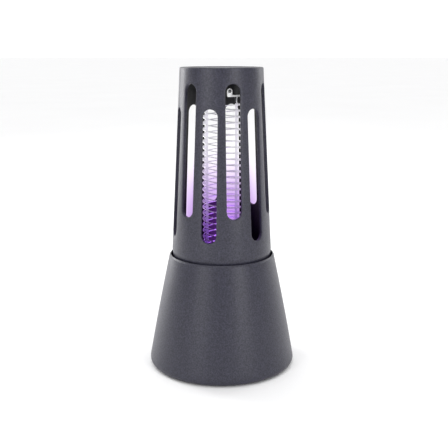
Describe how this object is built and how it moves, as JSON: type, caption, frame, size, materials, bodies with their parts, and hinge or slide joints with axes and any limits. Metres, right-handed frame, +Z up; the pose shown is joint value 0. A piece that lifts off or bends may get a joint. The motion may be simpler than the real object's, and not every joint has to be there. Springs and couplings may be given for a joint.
{
  "type": "electric bug zapper",
  "caption": "Cordless table-top electric bug zapper: slotted tapered guard tube on a conical base, round a coiled electric grid lit by ultraviolet LEDs.",
  "frame": {"origin": "on the table surface, under the middle of the conical base", "axes": "+Z up along the tube's axis; -Y is the front; the USB port and the power button are at the rear, towards +Y"},
  "size_m": [0.0988, 0.0988, 0.2],
  "materials": {
    "charcoal_plastic": "fine matt grain",
    "black_plastic": "smooth",
    "milky_plastic": "translucent",
    "grid_steel": "bright drawn wire",
    "screw_steel": "plated",
    "circuit_board": "solder mask",
    "clear_plastic": "clear",
    "tray_plastic": "satin",
    "cell_wrap": "shrink wrap",
    "transformer_winding": "lacquered wire",
    "shield_steel": "bright",
    "uv_led": "phosphor dome",
    "capacitor_coat": "epoxy coat",
    "red_insulation": "silicone",
    "rubber": "matt"
  },
  "bodies": {
    "base": {"base_shell": "charcoal_plastic", "grid_top_hub": "black_plastic", "grid_bottom_hub": "black_plastic", "grid_wire_1": "grid_steel", "grid_wire_2": "grid_steel", "terminal_clip_1": "grid_steel", "terminal_clip_2": "grid_steel", "terminal_screw_1": "screw_steel", "terminal_screw_2": "screw_steel", "led_board": "circuit_board", "led_lens": "clear_plastic", "chamber_floor": "black_plastic", "base_plate": "black_plastic", "battery_cell": "cell_wrap", "battery_holder": "black_plastic", "control_board": "circuit_board", "hv_board": "circuit_board", "hv_transformer": "transformer_winding", "usb_port": "shield_steel", "switch_body": "black_plastic", "indicator_lens": "clear_plastic", "grid_rib_front": "milky_plastic", "grid_rib_right": "milky_plastic", "grid_rib_back": "milky_plastic", "grid_rib_left": "milky_plastic", "uv_led_1": "uv_led", "uv_led_2": "uv_led", "uv_led_3": "uv_led", "uv_led_4": "uv_led", "uv_led_5": "uv_led", "uv_led_6": "uv_led", "hv_capacitor_1": "capacitor_coat", "hv_capacitor_2": "capacitor_coat", "hv_capacitor_3": "capacitor_coat", "hv_lead_1": "red_insulation", "hv_lead_2": "red_insulation", "base_screw_1": "screw_steel", "rubber_foot_1": "rubber", "base_screw_2": "screw_steel", "rubber_foot_2": "rubber", "base_screw_3": "screw_steel", "rubber_foot_3": "rubber", "base_screw_4": "screw_steel", "rubber_foot_4": "rubber"},
    "guard": {"guard_tube": "charcoal_plastic", "top_cap": "charcoal_plastic"},
    "tray": {"insect_tray": "tray_plastic"},
    "button": {"power_button": "black_plastic"}
  },
  "joints": [
    {"name": "guard_lift", "type": "slide", "parent": "base", "child": "guard", "axis": [0, 0, 1], "range_m": [0, 0.15]},
    {"name": "tray_lift", "type": "slide", "parent": "base", "child": "tray", "axis": [0, 0, 1], "range_m": [0, 0.085]},
    {"name": "power_button_press", "type": "slide", "parent": "base", "child": "button", "axis": [0, -0.9815, -0.1915], "range_m": [0, 0.0015], "stiffness_N_per_m": 600}
  ]
}
